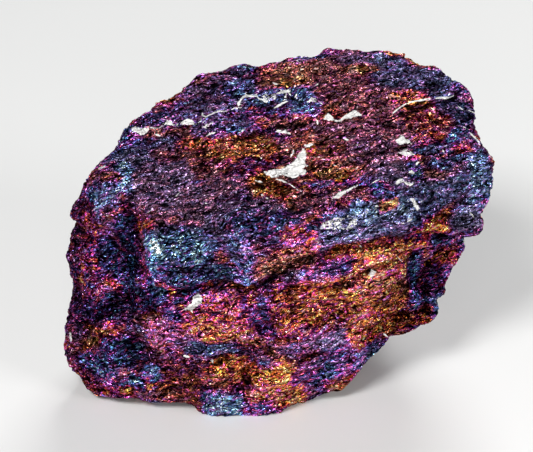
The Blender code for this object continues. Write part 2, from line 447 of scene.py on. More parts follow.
# Dark seams that the photo shows between the ore's parts, and soft ridges on its top. Each runs
# through pixels of the photo, with its half width and its depth in mm. A ridge has a negative depth.
seams = {
    "underRim": ((252, 289), (275, 277), (300, 264), (345, 248), (395, 244),
                 (430, 237), (462, 239), 0.7, 0.3),
    "underNose": ((165, 276), (185, 271), (207, 268), (228, 279), (243, 288), 0.9, 0.7),
    "underLedge": ((300, 287), (330, 288), (352, 282), (368, 271), (395, 262), 0.7, 0.3),
    "trough": ((124, 212), (134, 240), (139, 265), (143, 290), (150, 315), 2.4, 1.6),
    "leftHollow": ((76, 328), (90, 313), (108, 310), (124, 298), 1.6, 1.6),
    "leftLoop": ((78, 348), (86, 333), (98, 318), 1.0, 1.0),
    "rightHollow": ((418, 263), (414, 275), (408, 288), 3.2, 2.4),
    "underShelf": ((393, 317), (410, 313), (428, 308), (438, 304), 0.9, 0.9),
    "frontGroove": ((246, 370), (247, 385), (246, 402), 0.7, 0.5),
    "overGold": ((208, 373), (225, 359), (240, 353), (262, 352), (290, 357), 0.8, 0.6),
    "aboveFoot": ((196, 390), (214, 387), (238, 391), 0.8, 0.5),
    "frontDimple": ((264, 312), (270, 328), 1.8, 0.5),
    "topFoldFront": ((250, 214), (290, 206), (330, 198), (365, 190), 0.9, -0.6),
    "topFoldMiddle": ((300, 176), (345, 168), (395, 160), (440, 148), 0.8, -0.5),
    "topSeamMiddle": ((300, 182), (350, 174), (400, 163), 0.7, 0.6),
    "topSeamLeft": ((150, 152), (200, 156), (262, 161), 0.7, 0.6),
    "topSeamBack": ((235, 141), (262, 131), (300, 124), 0.8, 0.8),
    "underVein": ((400, 114), (425, 106), (455, 100), 0.9, 0.8),
    "leftEnd": ((103, 208), (118, 202), (133, 206), 0.9, 0.9),
}


# Places where the broken edges stand a little off the solid: a line through two pixels, its reach
# and the move, in mm.
nudges = {
    "crest": ((322, 50), (336, 48), 3.5, (0.0, 0.4, -1.3)),
    "crestRight": ((350, 56), (372, 56), 4.0, (0.0, 0.0, 0.7)),
    "leftShoulder": ((133, 128), (143, 120), 3.5, (1.0, -0.6, -0.6)),
    "rimEnd": ((462, 224), (480, 218), 4.5, (0.0, 0.3, -2.2)),
    "belowRimEnd": ((455, 236), (458, 246), 4.0, (1.2, -0.4, 0.3)),
    "rightEdge": ((486, 164), (486, 186), 4.0, (0.7, 0.0, 0.0)),
    "leftFoot": ((78, 384), (90, 392), 4.0, (-1.2, -0.4, 0.0)),
    "rightTop": ((468, 108), (476, 128), 4.0, (1.0, 0.0, 0.0)),
}


def nudgeEdges(piece, look):
    places = placesOf(piece)
    moves = np.zeros_like(places)
    for start, end, reach, move in nudges.values():
        apart = fromStroke(places, start, end, 1.0)
        moves += (1 - smoothStep(apart / reach, *look["nudgeFade"]))[:, None] * np.array(move)
    places += moves
    places[:, 2] = np.maximum(places[:, 2], 0.0)
    putPlaces(piece, places)


def carveSeams(piece, look):
    places = placesOf(piece)
    loose = places + cloudAt(places, *look["seamDrift"])
    depths = np.zeros(len(places))
    for *route, width, depth in seams.values():
        nearest = np.full(len(places), farAway)
        for start, end in zip(route, route[1:]):
            apart = fromStroke(loose, start, end, look["seamFlat"], onSkin=True)
            nearest = np.minimum(nearest, apart)
        depths += depth * (1 - smoothStep(nearest / width, 0.0, look["seamFade"]))
    putPlaces(piece, places - depths[:, None] * valuesOf(piece, "normal"))


def applyTree(piece, tree):
    makeActive(piece)
    piece.modifiers.new(tree.name, "NODES").node_group = tree
    bpy.ops.object.modifier_apply(modifier=tree.name)


def buildLump(look):
    lump = copyOfNode("peacock_ore", "oreLump")
    bpy.ops.mesh.customdata_custom_splitnormals_clear()
    bpy.ops.object.mode_set(mode="EDIT")
    bpy.ops.mesh.select_all(action="SELECT")
    bpy.ops.mesh.remove_doubles(threshold=look["mergeGap"] * mm)
    angle, margin = look["mapAngle"], look["mapMargin"]
    bpy.ops.uv.smart_project(angle_limit=angle, island_margin=margin, scale_to_bounds=True)
    bpy.ops.mesh.subdivide(number_cuts=look["cuts"])
    bpy.ops.object.mode_set(mode="OBJECT")
    lump.data.uv_layers.active.name = "OFBake"
    wear = lump.modifiers.new("wear", "SMOOTH")
    wear.iterations = look["wearPasses"]
    bpy.ops.object.modifier_apply(modifier="wear")
    print("lump cut finer:", len(lump.data.polygons), "faces")
    nudgeEdges(lump, look)
    carveSeams(lump, look)
    print("edges nudged, seams carved")
    applyTree(lump, makeRelief(look))
    print("relief laid on")
    thin = lump.modifiers.new("thin", "DECIMATE")
    thin.ratio = look["trianglesKept"] / len(lump.data.polygons)
    bpy.ops.object.modifier_apply(modifier="thin")
    applyTree(lump, makeHollowMarks(look))
    bpy.ops.object.shade_flat()
    return lump


lump = buildLump(lumpLook)
print("lump built:", len(lump.data.polygons), "faces")


# How the tarnish drifts in patches along the sheets, all round the lump.
tarnishDrift = {
    # how far each cloud is stretched along and across the sheets, its size in mm, and its shift
    "patches": (((1.5, 1.2, 0.7), 8.0, 0.0), ((1.5, 1.0, 0.6), 3.4, 40.0)),
    # the middle value, the swing in each cloud, and the least and the most
    "film": (0.45, 0.5, 0.22, 0.05, 0.95),
    "brightness": (0.85, 0.5, 0.3, 0.3, 1.4),
    "smoothness": (0.22, 0.5, 0.4, 0.0, 0.9),
    # the zones that follow: size, reach and shift of the clouds that fray them
    "zoneFray": ((4.0, 1.5, 0.0), (1.2, 0.5, 20.0)),
    "zoneFlat": 0.35,  # weight of the distance along the line of sight
    "zoneFade": (0.45, 1.15),  # shares of its reach between which a zone fades
    "zoneStrength": 0.9,
}

# Zones of the tarnish on the side that the photo shows. Each lies along a line between two of the
# photo's pixels. Then come its reach in mm, the film's thickness (0 gold, 0.2 orange, 0.34 red,
# 0.45 magenta, 0.6 violet, 0.75 blue, 0.85 teal, 1 pale cyan), its brightness, and how smooth and
# grey it is (0 black with bright grains, 1 an even grey sheen). The brightness is painted light and
# shade as well as the tarnish's own tone: low in the hollows, under the ledges and on the left end
# (painted shade), and high on the rim, the nose and parts of the front (painted highlights).
filmZones = {
    "leftEdgeRed": ((134, 120), (150, 113), 2.5, 0.36, 0.9, 0.2),
    "leftShoulder": ((152, 118), (195, 110), 4, 0.64, 0.7, 0.4),
    "roseStreaks": ((150, 134), (200, 132), 2.2, 0.30, 1.25, 0.7),
    "leftGreyBlue": ((127, 160), (170, 147), 4.5, 0.68, 0.9, 0.75),
    "goldLines": ((195, 150), (262, 148), 5, 0.22, 0.95, 0.15),
    "leftRed": ((165, 158), (205, 166), 4, 0.36, 0.8, 0.55),
    "leftGrey": ((130, 170), (180, 170), 3.4, 0.58, 0.8, 0.8),
    "tealCorner": ((123, 168), (128, 188), 2.4, 0.84, 2, 0.3),
    "blueCorner": ((110, 192), (105, 204), 2.6, 0.70, 1.8, 0.5),
    "greyApron": ((155, 192), (250, 215), 7, 0.54, 0.85, 0.85),
    "apronMauve": ((212, 186), (248, 183), 2.8, 0.48, 0.85, 0.8),
    "plumApron": ((220, 224), (282, 216), 4.5, 0.58, 0.55, 0.7),
    "rosePatch": ((165, 222), (195, 224), 2, 0.38, 1.1, 0.6),
    "noseTop": ((148, 235), (192, 232), 1.8, 0.72, 0.7, 0.5),
    "backLeftDark": ((200, 98), (240, 82), 5, 0.60, 0.55, 0.6),
    "backLeftBlue": ((235, 92), (258, 84), 3, 0.74, 1, 0.3),
    "backLeftMauve": ((203, 112), (235, 104), 2.6, 0.62, 0.85, 0.6),
    "backMauve": ((200, 128), (240, 120), 3, 0.62, 0.9, 0.5),
    "backBrown": ((270, 80), (330, 68), 4.5, 0.22, 1, 0.5),
    "backGold": ((283, 82), (300, 80), 1.6, 0.12, 1.2, 0.2),
    "crestRose": ((327, 62), (350, 55), 3, 0.36, 1.2, 0.75),
    "crestMauve": ((350, 61), (375, 62), 3.5, 0.56, 1.1, 0.8),
    "crestBlue": ((380, 58), (400, 68), 2.6, 0.74, 1.2, 0.6),
    "crestRight": ((402, 63), (430, 77), 2.6, 0.68, 0.8, 0.7),
    "backOlive": ((345, 70), (372, 69), 2, 0.12, 0.9, 0.4),
    "backRightGrey": ((385, 85), (435, 78), 4, 0.68, 0.8, 0.7),
    "veinBlue": ((262, 98), (300, 92), 3, 0.76, 1.1, 0.3),
    "brightBlue": ((297, 108), (318, 104), 2, 0.78, 1.4, 0.2),
    "redField": ((330, 88), (400, 112), 7, 0.37, 0.85, 0.6),
    "redBandRight": ((395, 98), (428, 96), 2.5, 0.26, 1.1, 0.1),
    "edgeGreyBack": ((440, 95), (460, 112), 4, 0.68, 0.6, 0.6),
    "pinkBurst": ((303, 118), (322, 124), 2.5, 0.42, 1.6, 0.3),
    "roseBand": ((275, 122), (300, 128), 2.5, 0.34, 1.2, 0.6),
    "magentaMiddle": ((330, 130), (400, 135), 5, 0.42, 0.9, 0.6),
    "brownMiddle": ((305, 150), (360, 162), 5, 0.28, 1, 0.45),
    "orangeSpot": ((313, 150), (318, 153), 1.2, 0.20, 1.8, 0),
    "brownLens": ((262, 184), (290, 193), 4, 0.18, 0.65, 0.1),
    "darkHollow": ((235, 172), (262, 166), 3, 0.50, 0.5, 0.2),
    "greyRight": ((385, 168), (432, 186), 4.5, 0.58, 1.1, 0.9),
    "redRight": ((415, 115), (445, 130), 4.5, 0.33, 0.6, 0.25),
    "mauveRight": ((360, 150), (395, 150), 4, 0.46, 0.9, 0.7),
    "cyanRight": ((455, 138), (460, 134), 2, 0.85, 1.8, 0),
    "pinkRight": ((461, 143), (458, 146), 1.4, 0.50, 1.4, 0),
    "edgeMauve": ((466, 136), (480, 148), 2.4, 0.66, 1, 0.5),
    "blueLines": ((440, 165), (475, 158), 3, 0.76, 1, 0.5),
    "brownCrest": ((430, 178), (465, 171), 1.8, 0.20, 0.8, 0.8),
    "edgeTeal": ((478, 170), (485, 182), 4, 0.82, 1.1, 0.5),
    "edgeBlue": ((458, 182), (468, 205), 3.5, 0.74, 1.7, 0.5),
    "rosyFacet": ((446, 200), (455, 197), 2.2, 0.34, 1.7, 0.7),
    "greyLobe": ((463, 222), (472, 216), 3, 0.68, 1.9, 0.9),
    "rimBlue": ((345, 226), (425, 204), 4, 0.76, 2.1, 0.6),
    "rimBlueRight": ((405, 206), (450, 190), 4, 0.72, 1.35, 0.6),
    "rimPale": ((362, 214), (402, 212), 3, 0.80, 2.6, 0.6),
    "rimGrey": ((320, 240), (400, 228), 3.5, 0.70, 1.35, 0.7),
    "rimGold": ((383, 205), (395, 203), 1.3, 0.05, 2.9, 0.35),
    "rimRose": ((300, 200), (362, 192), 2.6, 0.38, 0.95, 0.6),
    "rimDark": ((238, 224), (283, 228), 4, 0.66, 0.5, 0.2),
    "rimPink": ((296, 236), (308, 250), 3.6, 0.38, 2.5, 0.1),
    "rimPinkSpot": ((302, 232), (311, 235), 1.5, 0.42, 2, 0),
    "noseBlue": ((180, 245), (225, 265), 5, 0.77, 1.1, 0.4),
    "noseTeal": ((165, 250), (188, 253), 3.6, 0.83, 1.1, 0.15),
    "noseShadow": ((188, 280), (228, 268), 2.4, 0.76, 0.5, 0.2),
    "troughBlue": ((151, 260), (157, 288), 2.8, 0.80, 2.2, 0.1),
    "noseLow": ((168, 272), (176, 280), 2.2, 0.72, 0.7, 0.2),
    "noseCyan": ((152, 244), (154, 248), 1.8, 0.98, 3.8, 0.1),
    "noseOrange": ((226, 256), (237, 263), 2.6, 0.22, 1.7, 0.3),
    "noseEmber": ((169, 289), (172, 293), 1.3, 0.16, 2.6, 0),
    "noseViolet": ((236, 245), (245, 262), 4, 0.68, 1.4, 0.4),
    "nosePale": ((248, 278), (256, 268), 3, 0.76, 2.4, 0.3),
    "grooveBrown": ((262, 270), (298, 258), 3.5, 0.24, 0.9, 0.5),
    "grooveOrange": ((340, 258), (400, 250), 4, 0.23, 2.6, 0.1),
    "rightOrange": ((385, 270), (416, 248), 4, 0.24, 2.1, 0.1),
    "grooveRight": ((416, 238), (444, 226), 2.4, 0.23, 2.5, 0),
    "lobeUnder": ((446, 240), (472, 238), 1.3, 0.66, 0.35, 0.2),
    "rimLobe": ((458, 222), (476, 222), 2.8, 0.67, 1.8, 0.9),
    "grooveViolet": ((308, 275), (346, 268), 3, 0.64, 1.4, 0.2),
    "frontCoral": ((195, 312), (250, 305), 5, 0.37, 1.45, 0.1),
    "frontOrange": ((188, 334), (240, 326), 3.6, 0.29, 1.9, 0.1),
    "frontMagenta": ((245, 315), (258, 318), 2.2, 0.44, 1.8, 0.1),
    "frontViolet": ((261, 310), (269, 330), 3.2, 0.60, 2, 0.1),
    "frontRed": ((280, 295), (290, 325), 3.5, 0.33, 1.2, 0.05),
    "fibreOrange": ((302, 292), (345, 292), 3.8, 0.19, 2.4, 0.05),
    "frontPeach": ((360, 276), (392, 276), 4, 0.26, 2, 0.25),
    "frontPink": ((391, 272), (396, 276), 1.4, 0.42, 1.7, 0),
    "frontLow": ((300, 322), (388, 305), 6, 0.27, 1.3, 0.1),
    "frontPlum": ((300, 345), (350, 338), 5, 0.44, 1.3, 0.1),
    "frontMauve": ((285, 350), (312, 344), 2.4, 0.55, 1.7, 0.5),
    "leftPink": ((155, 330), (162, 350), 3, 0.43, 2.5, 0.2),
    "frontLilac": ((172, 334), (190, 344), 3.4, 0.48, 2.8, 0.35),
    "paleViolet": ((176, 340), (184, 345), 1.6, 0.60, 1.8, 0.5),
    "blueBand": ((195, 350), (228, 350), 2.6, 0.74, 1.3, 0.5),
    "plumLow": ((160, 362), (200, 368), 4, 0.42, 0.7, 0.3),
    "blueNick": ((152, 370), (160, 382), 2, 0.80, 1.9, 0.1),
    "brownLow": ((168, 384), (212, 386), 3, 0.28, 0.7, 0.2),
    "goldLeft": ((225, 366), (255, 375), 3.5, 0.15, 2.2, 0.05),
    "goldBright": ((282, 377), (306, 387), 5, 0.10, 3, 0),
    "redGroove": ((246, 378), (246, 400), 1.4, 0.32, 0.9, 0.3),
    "redLow": ((257, 394), (285, 394), 3, 0.28, 1.7, 0.2),
    "footTeal": ((212, 402), (231, 404), 3.7, 0.82, 1.6, 0.2),
    "footLeft": ((162, 396), (190, 400), 2.2, 0.28, 0.5, 0.3),
    "footViolet": ((247, 411), (265, 412), 2.5, 0.58, 1.2, 0.1),
    "mutedViolet": ((325, 345), (345, 336), 3, 0.64, 1.4, 0.8),
    "rightViolet": ((310, 375), (350, 356), 5, 0.60, 2, 0.2),
    "rightCyan": ((320, 380), (328, 371), 2, 0.80, 1.6, 0.2),
    "rightRed": ((357, 338), (365, 312), 3.2, 0.26, 2.4, 0.1),
    "lowRightDark": ((318, 393), (362, 372), 3.4, 0.58, 0.6, 0.3),
    # the hollow under the right end of the rim and the shelf below it: mostly painted shade
    "hollowShade": ((430, 270), (420, 292), 3.4, 0.50, 0.12, 0.1),
    "hollowOrange": ((430, 262), (450, 254), 2.6, 0.28, 0.4, 0),
    "sideShade": ((432, 275), (444, 286), 3, 0.55, 0.3, 0),
    "sideBlue": ((415, 298), (440, 300), 2.5, 0.72, 0.9, 0),
    "shelfBlue": ((408, 308), (425, 303), 1.4, 0.82, 1.8, 0),
    "shelfUnder": ((395, 328), (425, 318), 3, 0.24, 0.5, 0),
    # the left end: mostly painted shade, with a few brighter spots
    "leftShade": ((83, 215), (90, 240), 4, 0.42, 0.7, 0),
    "leftRose": ((108, 215), (112, 228), 2.2, 0.42, 1.3, 0.4),
    "troughShade": ((126, 225), (134, 300), 3.2, 0.70, 0.35, 0),
    "troughPink": ((136, 256), (142, 276), 2.2, 0.50, 1.6, 0.1),
    "leftBlue": ((106, 252), (121, 282), 3.4, 0.68, 0.95, 0),
    "leftCrimson": ((80, 258), (98, 280), 4, 0.46, 0.85, 0.05),
    "leftEmber": ((112, 283), (118, 289), 1.5, 0.32, 2.2, 0),
    "leftOrange": ((73, 277), (79, 280), 1.8, 0.22, 1.2, 0.1),
    "leftPinkLow": ((88, 298), (97, 300), 2, 0.42, 0.8, 0.1),
    "leftHollow": ((85, 312), (148, 306), 3.2, 0.60, 0.3, 0),
    "leftRedSpot": ((111, 330), (118, 336), 2.2, 0.38, 1.7, 0),
    "leftBlueLow": ((110, 355), (130, 350), 4.5, 0.74, 0.5, 0),
    "leftFootRed": ((77, 372), (95, 386), 3.5, 0.40, 0.5, 0.1),
    "leftEdgeDark": ((70, 312), (68, 385), 3.5, 0.52, 0.4, 0.2),
    "tealLow": ((130, 380), (140, 384), 2, 0.82, 0.9, 0),
}

# White quartz grown into the ore. Its patches, by their outlines in the photo's pixels.
quartzPatches = {
    "crescent": [
        (262.5, 172), (270, 170.5), (276, 169), (280, 169), (284, 168), (288, 165.5), (292, 163),
        (295, 160.5), (296, 158), (298, 155), (300, 152.5), (302, 150.5), (303.5, 147.5), (305, 144.5),
        (309, 143.5), (313.5, 142.3), (314, 144), (311.5, 146), (309.5, 147.3), (306, 147), (304.5, 148),
        (306, 152), (306.5, 157), (305, 161), (305, 164.5), (308, 164.5), (311.5, 162), (310, 164.5),
        (306, 167), (302, 168.3), (305, 170), (307, 172), (305, 174), (301, 174.5), (298, 176),
        (296, 178), (293.5, 179), (290, 177.5), (286, 175.5), (281, 175), (277, 177), (274, 178.3),
        (270, 176.5), (266, 174.5),
    ],
    "wing": [
        (322, 117.5), (324, 115.5), (326.5, 114.5), (328.5, 113), (330.5, 114.5), (332.5, 117),
        (334.5, 119.5), (337, 120.5), (339.5, 119.8), (342.5, 117.5), (346, 114.5), (350, 112),
        (353, 110.5), (355, 109.7), (357, 111), (359.5, 113), (362.5, 115), (360, 116), (356.5, 115.8),
        (353, 117), (349.5, 118.8), (346.5, 118.3), (343.5, 119.8), (341, 120.8), (338.5, 122.3),
        (335.5, 121.3), (332.5, 120.3), (329, 120.5), (326, 119.8), (323.5, 118.8),
    ],
    "leftTongue": [
        (131, 130), (132, 128), (134, 126.8), (138, 127.2), (141, 128.8), (144, 128.5), (147, 127.8),
        (150, 126.8), (149, 129), (147.5, 131.5), (145.5, 134), (142.5, 134.8), (139, 134.2), (136, 132),
        (133, 131.5),
    ],
    "secondTongue": [
        (161.5, 126.5), (162.5, 124), (165, 121), (168, 119.8), (170.5, 120.5), (173, 123), (176, 124.5),
        (178.5, 123.5), (181, 121.5), (184, 120.5), (187, 118.8), (190, 119.2), (193, 121),
        (196.5, 124.2), (193, 124.8), (188, 125), (184, 124.3), (180, 125), (177, 126), (173, 125.5),
        (169, 124.8), (165, 124.8),
    ],
    "blade": [
        (330, 197.5), (335, 196), (338, 193.5), (341, 191.5), (345, 190), (350, 188), (356, 185),
        (360, 183.3), (356, 187), (350, 190.5), (346, 193), (342, 196), (338, 198.4), (333, 198.7),
    ],
    "roseSliver": [
        (275, 130.3), (277.5, 129.4), (281, 130), (283, 131), (285.5, 129.8), (287, 130.5), (288, 132),
        (291.5, 132.5), (291, 134), (288, 133.8), (286, 132.8), (283, 133), (279, 133), (277, 132),
    ],
    "upperTriangle": [
        (401, 134), (403, 136.5), (405, 138.5), (408, 139.3), (411, 142.5), (411.7, 145), (408, 144),
        (406, 142.8), (404, 143.5), (403, 145.5), (401, 144), (399, 144), (397, 142.5), (395, 141),
        (398, 139.5), (400, 136),
    ],
    "lowerTriangle": [
        (406, 147.3), (408.5, 150.5), (412, 152), (416, 155), (411, 154.7), (407, 156), (404, 155.7),
        (402.5, 153.7), (398, 153.5), (401, 151.3), (404, 150),
    ],
    "hook": [
        (424, 159.8), (421, 162.2), (418.7, 163), (418, 166.7), (416, 166.2), (416.2, 162.5),
        (419, 160.8),
    ],
    "pebble": [(408, 172.5), (410, 170), (413, 171.3), (415.3, 173), (411, 174.7), (408.5, 174.3)],
    "saddle": [
        (395, 184), (397, 181), (400, 178.3), (402.5, 179.3), (404.5, 181.7), (408, 181.8), (411, 183.3),
        (414.3, 182.3), (411.3, 186), (408, 185.3), (404, 183), (401, 181.3), (398, 184),
    ],
    "bar": [
        (410, 199), (413.5, 198.3), (416.3, 203), (419.8, 208), (418, 211.3), (415.3, 208),
        (412.3, 203.5),
    ],
    "leaf": [
        (198, 292.5), (201, 296), (203.7, 298), (201.3, 300.3), (201, 303), (196.5, 307), (193, 309.5),
        (192.5, 315), (190.7, 310.3), (187, 310.3), (183.7, 309.7), (188, 306.3), (191, 303), (193, 301),
        (192, 297), (195, 295.7),
    ],
    "frontTriangle": [
        (372, 269.3), (375.3, 271), (376.3, 274), (374, 276), (371, 277.7), (369, 279.3), (368.7, 275),
        (370, 272),
    ],
}

# Its thin veins and dots, through pixels with the half width in pixels at each.
quartzVeins = [
    # the back left of the top
    ((150, 127.3, 0.6), (157, 128.5, 0.35), (161.5, 126.8, 0.5)),
    ((155, 134.3, 0.5), (158.5, 135, 1.2), (160, 136.3, 0.5)),
    ((202.5, 112.5, 0.4), (202.3, 114.5, 1.2), (203.5, 116.5, 0.3)),
    ((197.5, 123.5, 0.2), (203, 119.3, 0.4), (208, 115.7, 0.6), (215, 112.3, 0.6), (219, 111.2, 0.8),
     (228, 111.3, 0.4)),
    ((231, 109.7, 0.3), (235, 107.7, 0.5), (242, 107.7, 0.4)),
    ((238.3, 105.3, 0.7), (238.3, 103.5, 1.5), (240.3, 101, 0.8), (242, 97.7, 0.9), (245, 96.2, 1.0),
     (250, 95.7, 1.0), (254, 97.3, 0.9)),
    ((256.3, 93.5, 0.4), (258, 98.3, 0.5), (263, 99.7, 0.9), (266, 103, 0.5)),
    ((246, 92.3, 0.6), (247.5, 92.5, 0.5)),
    ((202.5, 127, 0.6), (205.5, 127.3, 1.0), (207, 128.2, 0.3)),
    ((205, 125, 0.5), (208, 124.2, 0.9), (210, 124.3, 0.3)),
    ((212, 122, 0.6), (212.5, 124.7, 0.6)),
    ((206.5, 136, 0.6), (210, 133.5, 1.1), (215, 132.7, 0.7)),
    ((238, 133.5, 0.5), (241, 131.3, 0.6), (245, 129.3, 0.6)),
    ((233, 139.7, 0.9), (233.7, 140.3, 0.8)),
    ((251.5, 123.7, 0.9), (254, 123, 0.5)),
    ((170, 104, 0.8), (170.7, 104.3, 0.5)),
    ((273, 83, 0.6), (275, 84, 0.9), (278, 84, 0.6)),
    ((276.5, 93.7, 0.6), (281, 92.3, 1.0), (286, 91.5, 1.7), (288.5, 90, 0.7), (289.3, 88.7, 0.3)),
    ((288, 92, 0.9), (290.7, 95.5, 0.4)),
    ((274, 108.5, 0.6), (280, 104.7, 1.0), (284, 102.5, 0.9), (288, 101.2, 0.4)),
    ((284, 97.6, 0.5), (286.7, 97, 0.6)),
    ((295, 97.7, 0.6), (297, 93.7, 0.6)),
    ((306.5, 102.5, 0.5), (310.5, 100.5, 1.1), (315, 98.3, 0.5)),
    ((311, 97.3, 0.5), (312.3, 101, 0.9), (317.5, 101.7, 0.5)),
    ((320.5, 102.7, 0.5), (322.5, 104.5, 0.6)),
    ((315.5, 85.7, 0.8), (318.5, 83.3, 0.6)),
    # the middle of the top
    ((317, 120, 0.8), (317.7, 123.7, 0.8)),
    ((344, 138.5, 0.7), (346.5, 139.5, 1.1), (348.5, 140.3, 0.6)),
    ((356.3, 145, 1.1), (357.7, 144.7, 0.9)),
    ((355.3, 168.5, 1.0), (356.7, 168.7, 0.8)),
    ((333.7, 165, 0.6), (335.5, 165.7, 0.5)),
    ((315.3, 160, 1.0), (317, 160, 0.7)),
    ((318.7, 183.7, 0.7), (319.7, 184.7, 0.5)),
    ((293.3, 150.7, 1.1), (293.3, 152.7, 0.8), (290.5, 157, 0.6)),
    ((275, 179.3, 0.4), (283, 180.7, 0.9), (286, 182.5, 0.6)),
    ((288, 183, 0.3), (294, 187, 0.5), (299, 191, 0.3)),
    ((255.5, 180.3, 0.6), (259, 181.3, 1.0), (262.3, 182, 0.4)),
    ((261.7, 194.7, 1.0), (263.5, 195.3, 0.7)),
    ((266.5, 198, 0.9), (268, 198.7, 0.6)),
    ((292.5, 199.7, 0.5), (294, 200.5, 0.4)),
    ((261, 158, 0.7), (262, 158.3, 0.5)),
    # the right of the top, down to the rim
    ((392.5, 113.5, 0.5), (395.5, 111, 1.0), (400, 107.3, 0.5), (405, 104.3, 0.7), (410, 102.5, 0.7),
     (415, 101, 0.6), (420, 100.5, 0.9), (430, 98.5, 0.8)),
    ((434, 98.7, 0.4), (440, 97.7, 0.9), (446, 98, 1.3), (450, 97.3, 0.6), (454, 95.7, 0.5)),
    ((456.5, 94, 0.5), (458.7, 94.7, 0.9)),
    ((457, 105.5, 0.3), (460, 107.5, 0.5), (464, 110.5, 0.6)),
    ((468, 110, 0.4), (475, 113, 0.6)),
    ((463.5, 127, 0.4), (468.5, 129.5, 0.5)),
    ((470, 133, 0.7), (474, 136.5, 0.9), (478, 141, 0.8), (479.7, 145, 0.5)),
    ((443, 150.5, 0.9), (444, 153, 0.6)),
    ((420, 173.5, 0.7), (420.7, 174.3, 0.5)),
    ((407, 222.3, 0.4), (409.5, 220.5, 1.0), (412.5, 218.7, 0.4)),
    ((469.7, 212, 0.5), (474, 217.3, 0.6)),
    ((464, 240, 0.6), (465, 244.5, 0.6)),
    ((372, 183, 0.3), (376, 181, 0.5), (380, 179, 0.3)),
    # the rim, the front and the left end
    ((376, 206.3, 1.4), (377.3, 206.3, 1.3)),
    ((316, 241, 1.0), (319, 242.7, 0.6)),
    ((360, 246, 0.9), (361.5, 246.7, 0.7)),
    ((368, 240.5, 0.7), (369.3, 241.7, 0.5)),
    ((396, 255, 0.3), (402, 262, 0.4)),
    ((184, 356, 1.0), (189, 357, 0.9)),
    ((212, 360, 1.2), (213, 363, 0.6)),
    ((70, 332, 0.8), (71, 341, 0.8)),
    ((98.5, 169, 0.9), (105, 166, 0.8)),
    ((384, 334, 1.0), (388, 337, 0.5)),
    ((147, 213, 0.3), (153, 209, 0.4)),
    ((175, 197, 0.3), (180, 192, 0.4)),
    ((205.5, 203, 0.8), (207, 203.5, 0.6)),
]

# Quartz only in specks, by the outline of each sprinkled patch.
quartzSprinkles = [
    [
        (318, 229.5), (321, 227), (322, 224), (326, 221), (331, 220), (336, 217), (340, 218), (344, 217),
        (343, 220), (341, 222), (341.5, 225), (345, 227.5), (347, 229), (343, 229.7), (338, 228),
        (335, 230.3), (331, 229), (328, 230.3), (325, 228.5),
    ],
    [
        (345, 216.5), (347, 214.5), (350, 216.7), (353, 219), (357, 217.7), (357.7, 221), (356, 225.5),
        (353, 227.5), (350, 229.7), (348.5, 226.5), (349.5, 222.5), (349, 219),
    ],
    [(262, 96), (265, 94), (269, 95), (270, 99), (267, 103), (264, 101)],
    [(271, 94), (275, 93.5), (277, 96), (275, 100), (272, 99)],
]

quartzLook = {  # distances from an edge in pixels, sizes in mm, ranges in the clouds' own values
    "colour": (0.74, 0.73, 0.71),
    "chalkSize": 0.7,
    "chalk": (0.7, 1.12),  # least and most brightness
    "cloudRange": (0.3, 0.7),
    "nibbleSize": 0.5,
    "nibble": 0.7,  # how far its edges are nibbled, and the share of that on veins
    "veinNibble": 0.5,
    "edge": 0.2,
    "speckSize": 0.42,
    "speckRange": (0.44, 0.49),
    "sprinkleEdge": (-0.5, 0.3),
    "patchReach": 4.0,  # this near to quartz, a place is tested for being in sight
    "veinReach": 6.0,
    "veinSide": 3.0,  # further to the side than this, a vein's half width shrinks
    "veinFade": 2.0,
    "bare": 9.0,  # stands for no quartz near by
    "fleckStretch": (2.4, 1.7, 0.55),  # flecks on the sides that the photo doesn't show
    "fleckSize": 3.0,
    "fleckShift": 80.0,
    "fleckLeast": 0.62,  # how strong the cloud must be there, from 0 to 1
    "fleckSlope": 8.0,
    "fleckFacing": 0.12,  # how far the skin must face away from the camera, from 0 to 1
}


def fromOutline(spots, outline):
    # the distance in pixels of each spot from an outline, below zero inside it
    corners = np.array(outline)
    nearest = np.full(len(spots), farAway)
    inside = np.zeros(len(spots), bool)
    for start, end in zip(corners, np.roll(corners, -1, axis=0)):
        line = end - start
        share = np.clip((spots - start) @ line / (line @ line), 0.0, 1.0)
        nearest = np.minimum(nearest, np.linalg.norm(spots - start - share[:, None] * line, axis=1))
        crosses = (start[1] > spots[:, 1]) != (end[1] > spots[:, 1])
        lineAt = start[0] + (spots[:, 1] - start[1]) * line[0] / (line[1] or tiny)
        inside ^= crosses & (spots[:, 0] < lineAt)
    return np.where(inside, -nearest, nearest)


def fromOutlines(spots, outlines):
    return np.min([fromOutline(spots, outline) for outline in outlines], axis=0)


def fromVeins(spots):
    # how far each spot lies to the side of the nearest vein, and the half width of that vein
    # there, which falls below zero away from it
    nearest = np.full(len(spots), farAway)
    side, room = nearest, -nearest
    for vein in quartzVeins:
        for (*start, startWidth), (*end, endWidth) in zip(vein, vein[1:]):
            start, line = np.array(start), np.array(end) - np.array(start)
            length = np.linalg.norm(line)
            line = line / length
            along = (spots - start) @ line
            across = (spots - start) @ np.array((-line[1], line[0]))
            past = np.maximum(np.maximum(-along, along - length), 0.0)
            apart = np.hypot(across, past)
            width = startWidth + np.clip(along / length, 0.0, 1.0) * (endWidth - startWidth)
            beside = np.maximum(np.abs(across) - quartzLook["veinSide"], 0.0)
            closer = apart < nearest
            nearest = np.where(closer, apart, nearest)
            side = np.where(closer, across, side)
            room = np.where(closer, width - past - quartzLook["veinFade"] * beside, room)
    return side, room


def driftFilm(sheets):
    # the film's level, its brightness and how smooth and grey it is, all round the lump
    clouds = [cloudAt(sheets / stretched, size, 1.0, shift)
              for stretched, size, shift in tarnishDrift["patches"]]
    columns = []
    for index, name in enumerate(("film", "brightness", "smoothness")):
        middle, wide, fine, least, most = tarnishDrift[name]
        value = middle + wide * clouds[0][:, index] + fine * clouds[1][:, index]
        columns.append(np.clip(value, least, most))
    return np.stack(columns, axis=1)


